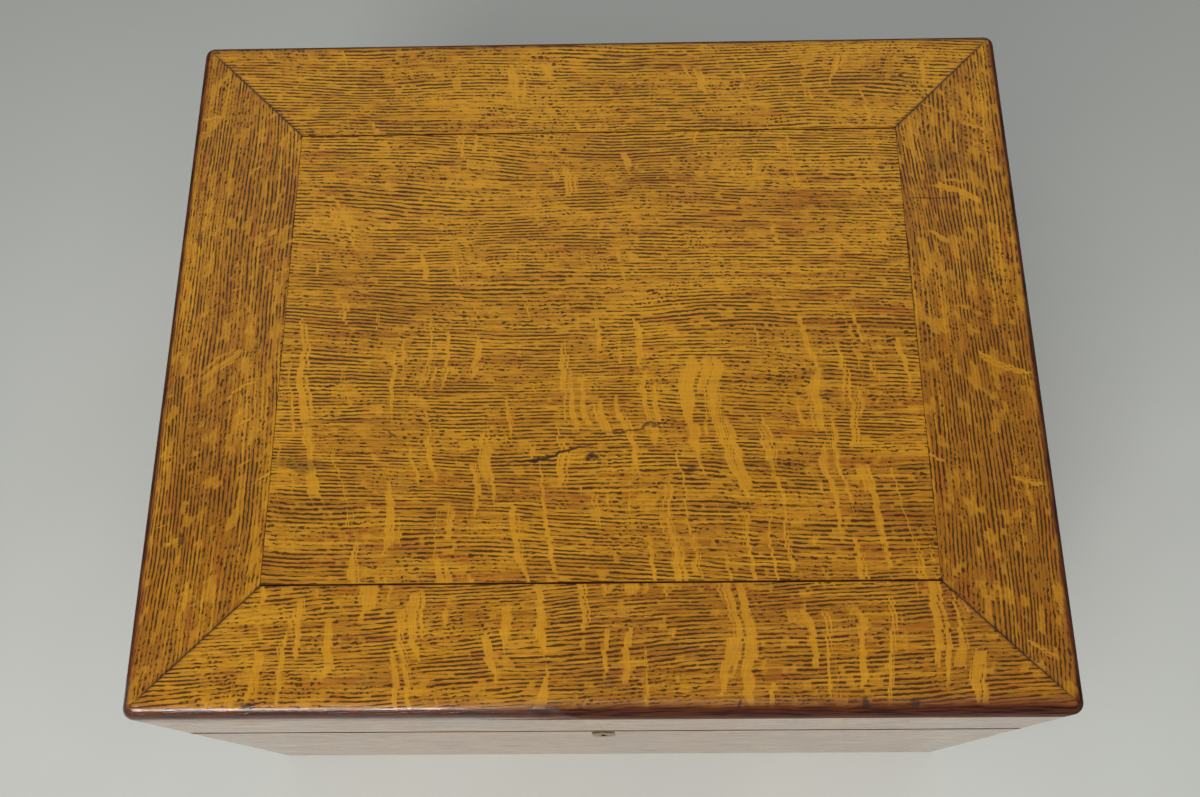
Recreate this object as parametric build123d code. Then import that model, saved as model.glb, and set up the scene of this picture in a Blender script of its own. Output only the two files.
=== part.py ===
from build123d import *
import math
import os

# An oak silverware chest, in millimetres. X runs left to right, Y from front to back, Z up.
# Everything is drawn about the middle of the case, standing on z = 0, and is then moved by
# ORIGIN_SHIFT so that the origin lies under the middle of the whole, hinge barrels included.

# Overall form
CHEST_WIDTH = 432.0
CHEST_DEPTH = 359.0
CHEST_HEIGHT = 276.0
LID_HEIGHT = 84.0
BOARD = 15.0
PLAN_RADIUS = 5.0
SEAM_GAP = 0.4
RIM_ROUND = 1.2
LID_EDGE_ROUND = 0.8

# Lid frame and panel
RAIL_WIDTH = 59.0
RAIL_THICKNESS = 19.0
TOP_ROUND = 7.5
PANEL_THICKNESS = 16.0
PANEL_SIDE_GAP = 0.25
PANEL_GRAIN_GAP = 1.0
TONGUE_THICKNESS = 6.0
TONGUE_REACH = 7.0
TONGUE_DROP = 5.0
GROOVE_SLACK = 0.5
TONGUE_FIT = 0.05

# Case bottom and mitre splines
BOTTOM_THICKNESS = 10.0
RABBET = 8.0
GLUE_FIT = 0.05
SPLINE_LENGTH = 12.0
SPLINE_THICKNESS = 3.0
SPLINE_SETBACK = 13.0
SPLINE_END = 12.0
RAIL_SPLINE_LENGTH = 16.0
RAIL_SPLINE_THICKNESS = 4.0
RAIL_SPLINE_RUN = 46.0
RAIL_SPLINE_START = 16.0
RAIL_SPLINE_DROP = 13.0

# Wood screws
SCREW_HEAD_R = 2.6
SCREW_SHANK_R = 1.4
SCREW_HEAD_HEIGHT = 1.3
SCREW_LENGTH = 10.0
SCREW_FIT = 0.03
DRIVER_SLOT_WIDTH = 0.6
DRIVER_SLOT_DEPTH = 0.6
BOTTOM_SCREW_LENGTH = 22.0
BOTTOM_SCREW_SINK = 0.4
BOTTOM_SCREW_COUNT_X = 4
BOTTOM_SCREW_COUNT_Y = 3

# Butt hinges
HINGE_INSET = 86.0
HINGE_LENGTH = 64.0
HINGE_LEAF = 1.6
HINGE_REACH = 12.0
KNUCKLE_R = 3.2
KNUCKLES = 5
KNUCKLE_GAP = 0.15
KNUCKLE_CLEAR = 0.3
HINGE_PIN_R = 1.5
HINGE_PIN_FIT = 0.05
HINGE_PIN_HEAD_R = 2.2
HINGE_PIN_HEAD = 1.0
HINGE_SCREWS = 3
HINGE_SCREW_PITCH = 24.0

# Box lock and its link plate
LOCK_HALF = 36.0
LOCK_PLATE = 1.6
LOCK_PLATE_DEPTH = 10.5
LOCK_PLATE_HEIGHT = 34.0
LOCK_CAP_HALF = 27.0
LOCK_CAP_DEPTH = 7.4
LOCK_CAP_HEIGHT = 29.0
LOCK_CAP_WALL = 1.0
LOCK_FIT = 0.1
LOCK_SCREW_INSET = 4.5
LUG_X = 12.0
LUG_THICKNESS = 2.5
LUG_WIDTH = 5.4
LUG_DROP = 9.4
LUG_EYE_WIDTH = 3.0
LUG_EYE_TOP = 4.4
LUG_EYE_HEIGHT = 3.8
LUG_CLEAR = 0.4
BOLT_THICKNESS = 2.4
BOLT_TRAVEL = 6.0
BOLT_NOSE_LENGTH = 6.5
BOLT_NOSE_HEIGHT = 2.8
BOLT_NOSE_CLEAR = 0.8
BOLT_POST = 3.5
BOLT_TOP = 4.9
BOLT_BAR_TOP = 10.6
BOLT_BAR_HEIGHT = 7.0
BOLT_TALON_R = 2.4
LOCK_PIN_R = 1.2
LOCK_PIN_FIT = 0.08
LOCK_PIN_X = 9.0
KEY_PIN_R = 0.9
KEY_DROP = 20.6

# Keyhole and escutcheon
KEYHOLE_R = 1.95
KEYHOLE_SLOT = 2.2
KEYHOLE_DROP = 8.0
ESCUTCHEON_WIDTH = 12.0
ESCUTCHEON_HEIGHT = 27.0
ESCUTCHEON_THICKNESS = 1.4
ESCUTCHEON_PROUD = 0.5
ESCUTCHEON_EDGE = 0.3
ESCUTCHEON_CROWN = 5.4
ESCUTCHEON_TOP = 7.0
ESCUTCHEON_PIN_R = 0.9
ESCUTCHEON_PIN_LENGTH = 4.0
ESCUTCHEON_PIN_INSET = 3.6

# Slotted lid stay: both studs lie STAY_RADIUS from the hinge axis, STAY_ANGLE above and below it
STAY_RADIUS = 80.0
STAY_ANGLE = 9.0
LID_OPEN_ANGLE = 95.0
STUD_R = 1.8
STUD_HEAD_R = 3.6
STUD_HEAD = 1.4
STUD_LENGTH_IN_WOOD = 9.0
STUD_FIT = 0.05
STAY_PLATE = 1.5
STAY_PLATE_LENGTH = 30.0
STAY_PLATE_HEIGHT = 12.0
STAY_SCREW_PITCH = 19.0
ARM_WIDTH = 11.0
ARM_THICKNESS = 2.0
ARM_SIDE_CLEAR = 0.4
SLOT_SIDE_CLEAR = 0.15
SLOT_END_CLEAR = 0.4
ARM_END = 5.0

# Lift-out tray and its bearers
TRAY_HEIGHT = 48.0
TRAY_BELOW_RIM = 4.0
TRAY_WALL = 6.0
TRAY_BOTTOM = 4.0
TRAY_RABBET = 3.0
TRAY_SIDE_CLEAR = 9.5
TRAY_END_CLEAR = 2.0
TRAY_RADIUS = 2.0
TRAY_REST_GAP = 0.1
BEARER_DEPTH = 8.0
BEARER_HEIGHT = 12.0
BEARER_SHORT = 2.0
DIVIDER_THICKNESS = 8.0
DIVIDER_SHORT = 4.0
DIVIDER_RISE = 13.0
DIVIDER_ARCH = 150.0
DIVIDER_SHOULDER = 12.0
GRIP_WIDTH = 88.0
GRIP_HEIGHT = 22.0
GRIP_BELOW_TOP = 11.0

# Notched racks
WELL_RACK_HEIGHT = 34.0
WELL_RACK_THICKNESS = 14.0
WELL_RACK_Y = 82.0
WELL_NOTCH_DEPTH = 20.0
TRAY_RACK_HEIGHT = 24.0
TRAY_RACK_THICKNESS = 12.0
TRAY_NOTCH_DEPTH = 13.0
NOTCHES = 6
NOTCH_WIDTH = 36.0
NOTCH_ROUND = 7.0
RACK_END_GAP = 0.3

# Baize and padding
BAIZE = 1.2
BAIZE_GAP = 0.3
LID_PAD = 5.0
PAD_GAP = 0.5
PAD_ROUND = 2.0
SIDE_BAIZE_BELOW_RIM = 28.0

# Carrying handles on both ends
HANDLE_Z = 128.0
HANDLE_PLATE = 1.5
HANDLE_PLATE_LENGTH = 112.0
HANDLE_PLATE_HEIGHT = 24.0
HANDLE_PLATE_WAIST = 15.0
HANDLE_PLATE_LOBE = 26.0
POST_SPREAD = 42.0
POST_R = 5.0
POST_COLLAR_R = 7.0
POST_COLLAR = 1.6
POST_STAND = 9.5
POST_BOLT_R = 2.4
POST_BOLT_FIT = 0.05
NUT_ACROSS = 9.0
NUT_THICKNESS = 4.0
NUT_RECESS_R = 6.5
NUT_RECESS = 5.5
BAIL_R = 2.3
BAIL_FIT = 0.06
BAIL_LEG_CLEAR = 1.5
BAIL_DROP = 34.0
BAIL_SHOULDER = 3.5
BAIL_CORNER = 13.0
BAIL_PIN_LENGTH = 15.0
GRIP_R = 3.9
GRIP_LENGTH = 50.0
GRIP_TAPER = 9.0

# Worked out from the sizes above
INNER_X = CHEST_WIDTH / 2 - BOARD
INNER_Y = CHEST_DEPTH / 2 - BOARD
SEAM_Z = CHEST_HEIGHT - LID_HEIGHT
RIM_Z = SEAM_Z - SEAM_GAP / 2
LID_Z = SEAM_Z + SEAM_GAP / 2
RAIL_Z = CHEST_HEIGHT - RAIL_THICKNESS
HINGE_X = CHEST_WIDTH / 2 - HINGE_INSET
HINGE_Y = CHEST_DEPTH / 2 + KNUCKLE_R + KNUCKLE_CLEAR
ORIGIN_SHIFT = (HINGE_Y + KNUCKLE_R - CHEST_DEPTH / 2) / 2
LOCK_Y = -INNER_Y - LOCK_PLATE_DEPTH / 2
TRAY_X = INNER_X - TRAY_SIDE_CLEAR
TRAY_Y = INNER_Y - TRAY_END_CLEAR
TRAY_Z = RIM_Z - TRAY_BELOW_RIM - TRAY_HEIGHT
TRAY_FLOOR = TRAY_Z + TRAY_BOTTOM
BEARER_Z = TRAY_Z - TRAY_REST_GAP
WELL_FLOOR = BOTTOM_THICKNESS + BAIZE
OUTSIDE = 20.0
CUT_SPARE = 1.0
TINY = 0.01
SIDES = ("front", "back", "left", "right")


def save(name, *pieces):
    """Write one sub-part, moved to the origin under the middle of the whole."""
    solids = [solid.moved(Pos(0, -ORIGIN_SHIFT, 0)) for piece in pieces for solid in piece.solids()]
    shape = solids[0] if len(solids) == 1 else Compound(solids)
    export_step(shape, os.path.join("parts", name + ".step"))


def block(x, y, z):
    """Box between a low and a high value along each axis."""
    size = (x[1] - x[0], y[1] - y[0], z[1] - z[0])
    return Pos((x[0] + x[1]) / 2, (y[0] + y[1]) / 2, (z[0] + z[1]) / 2) * Box(*size)


def prism(sketch, low, high):
    """A plan outline raised from one height to another."""
    return Pos(0, 0, low) * extrude(sketch, high - low)


def slab_xz(sketch, near, far):
    """An outline drawn in X and Z, running in Y from near to far."""
    return extrude(Plane(origin=(0, far, 0), x_dir=(1, 0, 0), z_dir=(0, -1, 0)) * sketch, far - near)


def slab_yz(sketch, near, far):
    """An outline drawn in Y and Z, running in X from near to far."""
    return extrude(Plane(origin=(near, 0, 0), x_dir=(0, 1, 0), z_dir=(1, 0, 0)) * sketch, far - near)


def rod(start, end, radius):
    """Round bar from one point to another."""
    along = Vector(*end) - Vector(*start)
    return extrude(Plane(origin=start, z_dir=along) * Circle(radius), along.length)


def mitre_wedge(width, depth, inward, low, high, side):
    """Prism over one side of a rectangle, cut at 45 degrees through its corners."""
    x_out, y_out = width / 2 + OUTSIDE, depth / 2 + OUTSIDE
    x_in, y_in = width / 2 - inward, depth / 2 - inward
    corners = {
        "front": ((-x_out, -y_out), (x_out, -y_out), (x_in, -y_in), (-x_in, -y_in)),
        "back": ((x_out, y_out), (-x_out, y_out), (-x_in, y_in), (x_in, y_in)),
        "left": ((-x_out, y_out), (-x_out, -y_out), (-x_in, -y_in), (-x_in, y_in)),
        "right": ((x_out, -y_out), (x_out, y_out), (x_in, y_in), (x_in, -y_in)),
    }[side]
    return prism(Polygon(*corners, align=None), low, high)


def mitred_boards(frame, width, depth, inward):
    """Split a closed frame into its four boards at the mitres."""
    box = frame.bounding_box()
    low, high = box.min.Z - OUTSIDE, box.max.Z + OUTSIDE
    return {side: frame & mitre_wedge(width, depth, inward, low, high, side) for side in SIDES}


def corner_signs():
    return [(x, y) for x in (-1, 1) for y in (-1, 1)]


def spline_sketches(width, depth, setback, length, thickness):
    """Loose tongues in plan, square across each mitre, set back from the corner."""
    step = setback / math.sqrt(2)
    tongues = []
    for x, y in corner_signs():
        place = Pos(x * (width / 2 - step), y * (depth / 2 - step))
        tongues.append(place * Rot(0, 0, -45 * x * y) * Rectangle(length, thickness))
    return tongues


def wall_frame(low, high):
    """Four walls of case or lid skirt as one closed frame with rounded corners."""
    outer = RectangleRounded(CHEST_WIDTH, CHEST_DEPTH, PLAN_RADIUS)
    return prism(outer - Rectangle(2 * INNER_X, 2 * INNER_Y), low, high)


def rounded_rim(solid, height, radius):
    """Soften the outer edge of a frame at one height."""
    face = solid.faces().filter_by(Axis.Z).sort_by(lambda f: abs(f.center().Z - height))[0]
    return fillet(face.outer_wire().edges(), radius)


def wall_splines(low, high, spare):
    """The upright tongues of case or skirt; spare widens them into their grooves."""
    tongues = spline_sketches(CHEST_WIDTH, CHEST_DEPTH, SPLINE_SETBACK,
                              SPLINE_LENGTH + 2 * spare, SPLINE_THICKNESS + 2 * spare)
    return [prism(tongue, low - spare, high + spare) for tongue in tongues]


def screw(length=SCREW_LENGTH):
    """Countersunk wood screw, its flat head at z = 0 and its point down, with a driver slot."""
    tip = SCREW_SHANK_R * 2
    outline = Polygon((0, 0), (SCREW_HEAD_R, 0), (SCREW_SHANK_R, -SCREW_HEAD_HEIGHT),
                      (SCREW_SHANK_R, tip - length), (0, -length), align=None)
    body = revolve(Plane.XZ * outline, Axis.Z)
    half = DRIVER_SLOT_WIDTH / 2
    reach = SCREW_HEAD_R + CUT_SPARE
    return body - block((-reach, reach), (-half, half), (-DRIVER_SLOT_DEPTH, CUT_SPARE))


def screw_hole(length=SCREW_LENGTH):
    """Room for one screw, a little wider than it and open above its head."""
    head = SCREW_HEAD_R + SCREW_FIT
    shank = SCREW_SHANK_R + SCREW_FIT
    outline = Polygon((0, CUT_SPARE), (head, CUT_SPARE), (head, 0), (shank, -SCREW_HEAD_HEIGHT),
                      (shank, -length - SCREW_FIT), (0, -length - SCREW_FIT), align=None)
    return revolve(Plane.XZ * outline, Axis.Z)


def along_line(count, pitch):
    """Evenly spaced places about zero."""
    return [pitch * (i - (count - 1) / 2) for i in range(count)]


UPSIDE_DOWN = Rot(180, 0, 0)
HEAD_BACK = Rot(-90, 0, 0)
HEAD_LEFT = Rot(0, -90, 0)


def hinge_screw_places(z, turn):
    y = CHEST_DEPTH / 2 - HINGE_REACH / 2
    return [Pos(side * HINGE_X + x, y, z) * turn
            for side in (-1, 1) for x in along_line(HINGE_SCREWS, HINGE_SCREW_PITCH)]


def knuckle_spans(own):
    """Low and high X of the knuckles of the case leaf (own = 0) or the lid leaf (own = 1)."""
    step = HINGE_LENGTH / KNUCKLES
    start = -HINGE_LENGTH / 2
    return [(start + i * step, start + (i + 1) * step) for i in range(KNUCKLES) if i % 2 == own]


def hinge_leaf(side, own):
    """Butt hinge leaf let into the case rim (own = 0) or the lid edge (own = 1)."""
    low = (RIM_Z - HINGE_LEAF, LID_Z)[own]
    plate = block((-HINGE_LENGTH / 2, HINGE_LENGTH / 2), (CHEST_DEPTH / 2 - HINGE_REACH, HINGE_Y),
                  (low, low + HINGE_LEAF))
    leaf = plate
    for x0, x1 in knuckle_spans(own):
        leaf += rod((x0, HINGE_Y, SEAM_Z), (x1, HINGE_Y, SEAM_Z), KNUCKLE_R)
    for x0, x1 in knuckle_spans(1 - own):
        x0, x1 = x0 - KNUCKLE_GAP, x1 + KNUCKLE_GAP
        leaf -= rod((x0, HINGE_Y, SEAM_Z), (x1, HINGE_Y, SEAM_Z), KNUCKLE_R + KNUCKLE_CLEAR)
    reach = HINGE_LENGTH
    leaf -= rod((-reach, HINGE_Y, SEAM_Z), (reach, HINGE_Y, SEAM_Z), HINGE_PIN_R + HINGE_PIN_FIT)
    return Pos(side * HINGE_X, 0, 0) * leaf


def hinge_mortises(own):
    """Room for both leaves in the edge of the back board."""
    low = (RIM_Z - HINGE_LEAF, LID_Z - CUT_SPARE)[own]
    high = low + HINGE_LEAF + CUT_SPARE
    return [block((s * HINGE_X - HINGE_LENGTH / 2, s * HINGE_X + HINGE_LENGTH / 2),
                  (CHEST_DEPTH / 2 - HINGE_REACH, CHEST_DEPTH / 2 + CUT_SPARE), (low, high)) for s in (-1, 1)]


def hinge_pin(side):
    """Pin through the knuckles, its two ends formed over."""
    x0, x1 = side * HINGE_X - HINGE_LENGTH / 2, side * HINGE_X + HINGE_LENGTH / 2
    pin = rod((x0, HINGE_Y, SEAM_Z), (x1, HINGE_Y, SEAM_Z), HINGE_PIN_R)
    pin += rod((x0 - HINGE_PIN_HEAD, HINGE_Y, SEAM_Z), (x0, HINGE_Y, SEAM_Z), HINGE_PIN_HEAD_R)
    return pin + rod((x1, HINGE_Y, SEAM_Z), (x1 + HINGE_PIN_HEAD, HINGE_Y, SEAM_Z), HINGE_PIN_HEAD_R)


def plate_screw_places(z, turn):
    return [Pos(s * (LOCK_HALF - LOCK_SCREW_INSET), LOCK_Y, z) * turn for s in (-1, 1)]


def lock_back_screw_places():
    z = RIM_Z - LOCK_PLATE_HEIGHT + LOCK_SCREW_INSET
    return [Pos(s * (LOCK_HALF - LOCK_SCREW_INSET), -INNER_Y, z) * HEAD_BACK for s in (-1, 1)]


def keyhole(near, far, top_z):
    """Round hole with a slot below it, through from near to far in Y."""
    hole = Pos(0, top_z) * Circle(KEYHOLE_R)
    hole += Pos(0, top_z - KEYHOLE_DROP / 2) * Rectangle(KEYHOLE_SLOT, KEYHOLE_DROP)
    return slab_xz(hole, near, far)


def lock_plate():
    """Top selvage with two lug slots, and the back plate under it."""
    near = -INNER_Y - LOCK_PLATE_DEPTH
    top = block((-LOCK_HALF, LOCK_HALF), (near, -INNER_Y), (RIM_Z - LOCK_PLATE, RIM_Z))
    back = block((-LOCK_HALF, LOCK_HALF), (-INNER_Y - LOCK_PLATE, -INNER_Y),
                 (RIM_Z - LOCK_PLATE_HEIGHT, RIM_Z - TINY))
    plate = top + back
    half_x = LUG_THICKNESS / 2 + LUG_CLEAR
    half_y = LUG_WIDTH / 2 + LUG_CLEAR
    for s in (-1, 1):
        plate -= block((s * LUG_X - half_x, s * LUG_X + half_x),
                       (LOCK_BOLT_Y - half_y, LOCK_BOLT_Y + half_y),
                       (RIM_Z - LOCK_PLATE - CUT_SPARE, RIM_Z + CUT_SPARE))
    for place in plate_screw_places(RIM_Z, Rot(0, 0, 0)) + lock_back_screw_places():
        plate -= place * screw_hole()
    return plate


LOCK_CAVITY_NEAR = -INNER_Y - LOCK_PLATE - LOCK_CAP_DEPTH + LOCK_CAP_WALL
LOCK_BOLT_Y = (LOCK_CAVITY_NEAR - INNER_Y - LOCK_PLATE) / 2
KEY_Z = RIM_Z - KEY_DROP


def lock_cap():
    """Box of the lock, open to the back plate and to the selvage."""
    near, far = -INNER_Y - LOCK_PLATE - LOCK_CAP_DEPTH, -INNER_Y - LOCK_PLATE
    top = RIM_Z - LOCK_PLATE
    wall = LOCK_CAP_WALL
    cap = block((-LOCK_CAP_HALF, LOCK_CAP_HALF), (near, far), (top - LOCK_CAP_HEIGHT, top))
    inside = block((-LOCK_CAP_HALF + wall, LOCK_CAP_HALF - wall), (near + wall, far + CUT_SPARE),
                   (top - LOCK_CAP_HEIGHT + wall, top + CUT_SPARE))
    return cap - inside - keyhole(near - CUT_SPARE, near + wall + CUT_SPARE, KEY_Z)


def lock_pins():
    """Two guide pins for the bolt and the key's pin, riveted in the back plate."""
    far = -INNER_Y - LOCK_PLATE
    z = RIM_Z - BOLT_BAR_TOP - BOLT_BAR_HEIGHT / 2
    pins = [rod((s * LOCK_PIN_X, LOCK_CAVITY_NEAR, z), (s * LOCK_PIN_X, far, z), LOCK_PIN_R)
            for s in (-1, 1)]
    return pins + [rod((0, LOCK_CAVITY_NEAR, KEY_Z), (0, far, KEY_Z), KEY_PIN_R)]


def lock_bolt():
    """Flat bar with two hooked noses that run into the eyes of the link plate."""
    bar_top = RIM_Z - BOLT_BAR_TOP
    bar_low = bar_top - BOLT_BAR_HEIGHT
    nose_top = RIM_Z - BOLT_TOP
    nose_low = nose_top - BOLT_NOSE_HEIGHT
    tips = [s * LUG_X - LUG_THICKNESS / 2 - BOLT_NOSE_CLEAR for s in (-1, 1)]
    ends = (tips[0] - BOLT_NOSE_LENGTH - BOLT_POST, tips[1] + BOLT_POST)
    middle = Pos((ends[0] + ends[1]) / 2, (bar_low + bar_top) / 2)
    face = middle * Rectangle(ends[1] - ends[0], bar_top - bar_low)
    for tip in tips:
        left = tip - BOLT_NOSE_LENGTH - BOLT_POST
        face += Polygon((left, bar_top - CUT_SPARE), (left + BOLT_POST, bar_top - CUT_SPARE),
                        (left + BOLT_POST, nose_low),
                        (tip, nose_low), (tip, nose_top), (left, nose_top), align=None)
    face -= Pos(0, bar_low) * Circle(BOLT_TALON_R)
    for s in (-1, 1):
        slot_r = LOCK_PIN_R + LOCK_PIN_FIT
        middle = s * LOCK_PIN_X - BOLT_TRAVEL / 2
        length = BOLT_TRAVEL + 2 * slot_r + 2 * LOCK_PIN_FIT
        face -= Pos(middle, (bar_low + bar_top) / 2) * SlotOverall(length, 2 * slot_r)
    return slab_xz(face, LOCK_BOLT_Y - BOLT_THICKNESS / 2, LOCK_BOLT_Y + BOLT_THICKNESS / 2)


def link_plate():
    """Plate in the lid edge with two eyed lugs that drop through the selvage."""
    plate = block((-LOCK_HALF, LOCK_HALF), (-INNER_Y - LOCK_PLATE_DEPTH, -INNER_Y),
                  (LID_Z, LID_Z + LOCK_PLATE))
    low = LID_Z - LUG_DROP
    for s in (-1, 1):
        round_end = LUG_WIDTH / 4
        lug = Pos(LOCK_BOLT_Y, (low + LID_Z + LOCK_PLATE) / 2) * RectangleRounded(
            LUG_WIDTH, LUG_DROP + LOCK_PLATE, round_end)
        eye_z = LID_Z - LUG_EYE_TOP - LUG_EYE_HEIGHT / 2
        lug -= Pos(LOCK_BOLT_Y, eye_z) * Rectangle(LUG_EYE_WIDTH, LUG_EYE_HEIGHT)
        near = s * LUG_X - LUG_THICKNESS / 2
        plate += slab_yz(lug, near, near + LUG_THICKNESS)
    for place in plate_screw_places(LID_Z, UPSIDE_DOWN):
        plate -= place * screw_hole()
    return plate


def escutcheon_outline(spare):
    """Long oval plate, pointed a little towards both ends."""
    half_w, half_h = ESCUTCHEON_WIDTH / 2 + spare, ESCUTCHEON_HEIGHT / 2 + spare
    shoulder = half_h - ESCUTCHEON_CROWN
    right = Line((half_w, -shoulder), (half_w, shoulder))
    crown = ThreePointArc((half_w, shoulder), (0, half_h), (-half_w, shoulder))
    left = Line((-half_w, shoulder), (-half_w, -shoulder))
    foot = ThreePointArc((-half_w, -shoulder), (0, -half_h), (half_w, -shoulder))
    return make_face([right, crown, left, foot])


ESCUTCHEON_Z = RIM_Z - ESCUTCHEON_TOP - ESCUTCHEON_HEIGHT / 2
CASE_FRONT_Y = -CHEST_DEPTH / 2


def escutcheon_pin_heights():
    reach = ESCUTCHEON_HEIGHT / 2 - ESCUTCHEON_PIN_INSET
    return (ESCUTCHEON_Z - reach, ESCUTCHEON_Z + reach)


def escutcheon():
    near = CASE_FRONT_Y - ESCUTCHEON_PROUD
    plate = slab_xz(Pos(0, ESCUTCHEON_Z) * escutcheon_outline(0), near, near + ESCUTCHEON_THICKNESS)
    plate = fillet(plate.faces().sort_by(Axis.Y)[0].outer_wire().edges(), ESCUTCHEON_EDGE)
    plate -= keyhole(near - CUT_SPARE, near + ESCUTCHEON_THICKNESS + CUT_SPARE, KEY_Z)
    for z in escutcheon_pin_heights():
        plate -= rod((0, near - CUT_SPARE, z), (0, near + ESCUTCHEON_THICKNESS + CUT_SPARE, z),
                     ESCUTCHEON_PIN_R + SCREW_FIT)
    return plate


def escutcheon_pins(spare):
    near = CASE_FRONT_Y - ESCUTCHEON_PROUD
    return [rod((0, near, z), (0, near + ESCUTCHEON_PIN_LENGTH + spare, z), ESCUTCHEON_PIN_R + spare)
            for z in escutcheon_pin_heights()]


def stud_point(sign):
    """Y and Z of the lid stud (sign = 1) or the case stud (sign = -1)."""
    angle = math.radians(STAY_ANGLE)
    return HINGE_Y - STAY_RADIUS * math.cos(angle), SEAM_Z + sign * STAY_RADIUS * math.sin(angle)


def stud_distance(opening):
    """Distance between the two studs when the lid stands at an angle."""
    return 2 * STAY_RADIUS * math.sin(math.radians(STAY_ANGLE + opening / 2))


ARM_FAR_X = INNER_X - STAY_PLATE - ARM_SIDE_CLEAR
ARM_NEAR_X = ARM_FAR_X - ARM_THICKNESS
STUD_HEAD_X = ARM_NEAR_X - ARM_SIDE_CLEAR


def stay_screw_places(sign):
    y, z = stud_point(sign)
    x = INNER_X - STAY_PLATE
    return [Pos(x, y + s * STAY_SCREW_PITCH / 2, z) * HEAD_LEFT for s in (-1, 1)]


def stay_plate(sign):
    """Small plate that carries one stud on the right wall."""
    y, z = stud_point(sign)
    outline = Pos(y, z) * RectangleRounded(STAY_PLATE_LENGTH, STAY_PLATE_HEIGHT, STAY_PLATE_HEIGHT / 2 - TINY)
    plate = slab_yz(outline, INNER_X - STAY_PLATE, INNER_X)
    plate -= rod((INNER_X - STAY_PLATE - CUT_SPARE, y, z), (INNER_X + CUT_SPARE, y, z), STUD_R + STUD_FIT)
    for place in stay_screw_places(sign):
        plate -= place * screw_hole()
    return plate


def stay_stud(sign, spare):
    """Headed stud on which the arm turns or slides."""
    y, z = stud_point(sign)
    stud = rod((STUD_HEAD_X, y, z), (INNER_X + STUD_LENGTH_IN_WOOD + spare, y, z), STUD_R + spare)
    return stud + rod((STUD_HEAD_X - STUD_HEAD, y, z), (STUD_HEAD_X, y, z), STUD_HEAD_R)


def stay_arm():
    """Flat arm hanging from the lid stud, with a long slot for the case stud."""
    y, z = stud_point(1)
    slot_r = STUD_R + SLOT_SIDE_CLEAR
    near = stud_distance(0) - slot_r - SLOT_END_CLEAR
    far = stud_distance(LID_OPEN_ANGLE) + slot_r + SLOT_END_CLEAR
    length = far + ARM_END + ARM_WIDTH / 2
    arm = Pos(y, z - length / 2 + ARM_WIDTH / 2) * Rot(0, 0, 90) * SlotOverall(length, ARM_WIDTH)
    arm -= Pos(y, z - (near + far) / 2) * Rot(0, 0, 90) * SlotOverall(far - near, 2 * slot_r)
    arm -= Pos(y, z) * Circle(STUD_R + STUD_FIT)
    return slab_yz(arm, ARM_NEAR_X, ARM_FAR_X)


def rack(length, thickness, height, depth, y, floor):
    """Bar with round-bottomed notches, each for a stack of spoons or forks."""
    bar = Pos(0, floor + height / 2) * Rectangle(length, height)
    for x in along_line(NOTCHES, length / NOTCHES):
        notch = RectangleRounded(NOTCH_WIDTH, 2 * depth, NOTCH_ROUND)
        bar -= Pos(x, floor + height) * notch
    return slab_xz(bar, y - thickness / 2, y + thickness / 2)


def divider():
    """Middle board of the tray, raised to an arch with a hand-hold."""
    half = TRAY_X - TRAY_WALL
    low, top = TRAY_FLOOR, TRAY_Z + TRAY_HEIGHT - DIVIDER_SHORT
    peak = top + DIVIDER_RISE
    r = DIVIDER_SHOULDER
    arch = DIVIDER_ARCH / 2
    lift = DIVIDER_RISE / 2
    corners = [(-half, low), (half, low), (half, top), (arch, top)]
    outline = [Line(start, end) for start, end in zip(corners, corners[1:])]
    flat = ((-1, 0), (-1, 0))
    outline += [Spline((arch, top), (arch - r, top + lift), (arch - 2 * r, peak), tangents=flat)]
    outline += [Line((arch - 2 * r, peak), (2 * r - arch, peak))]
    outline += [Spline((2 * r - arch, peak), (r - arch, top + lift), (-arch, top), tangents=flat)]
    outline += [Line((-arch, top), (-half, top)), Line((-half, top), corners[0])]
    board = make_face(outline)
    grip_z = peak - GRIP_BELOW_TOP - GRIP_HEIGHT / 2
    board -= Pos(0, grip_z) * SlotOverall(GRIP_WIDTH, GRIP_HEIGHT)
    return slab_xz(board, -DIVIDER_THICKNESS / 2, DIVIDER_THICKNESS / 2)


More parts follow.
